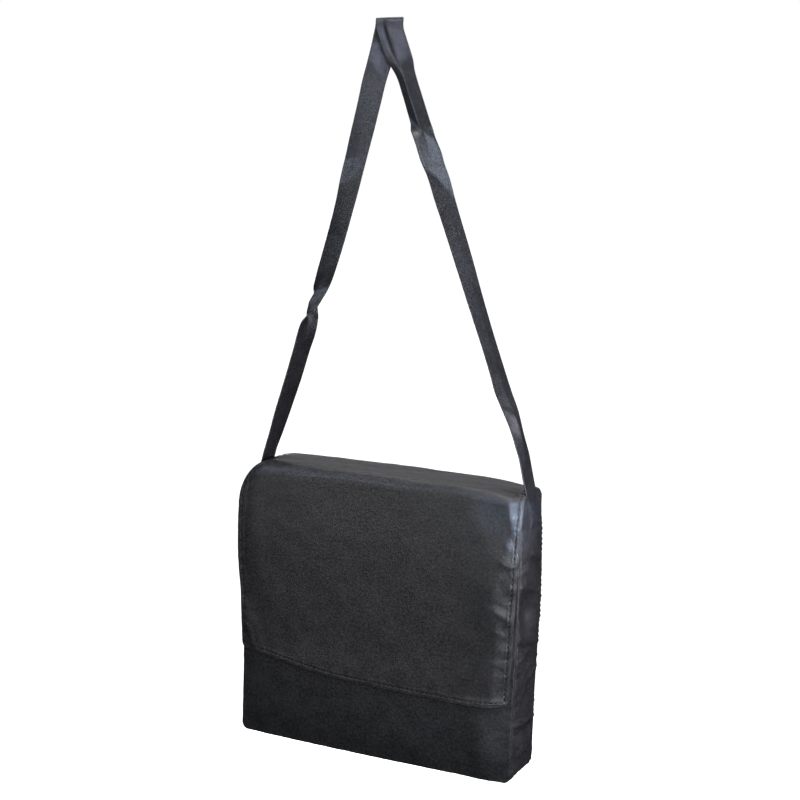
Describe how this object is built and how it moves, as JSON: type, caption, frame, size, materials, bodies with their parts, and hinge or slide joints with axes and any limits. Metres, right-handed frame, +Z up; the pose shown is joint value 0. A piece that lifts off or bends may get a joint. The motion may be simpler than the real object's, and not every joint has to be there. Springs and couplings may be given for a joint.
{
  "type": "non-woven flap-over shoulder bag",
  "caption": "Black non-woven cloth shoulder bag hanging by its long strap, with a wide flap folded over the mouth and down the front.",
  "frame": {"origin": "inside of the strap's top fold, where the bag hangs on a peg or a hand", "axes": "+X to the right seen from the front, +Y from the flap side to the back, +Z up"},
  "size_m": [0.378, 0.0857, 0.8746],
  "materials": {
    "body_cloth": "matt black spunbond polypropylene",
    "flap_cloth": "matt black spunbond polypropylene",
    "strap_cloth": "matt black spunbond polypropylene, folded and sewn"
  },
  "bodies": {
    "root": {"front_panel": "body_cloth", "back_panel": "body_cloth", "gusset": "body_cloth", "flap": "flap_cloth", "strap": "strap_cloth"}
  },
  "joints": []
}
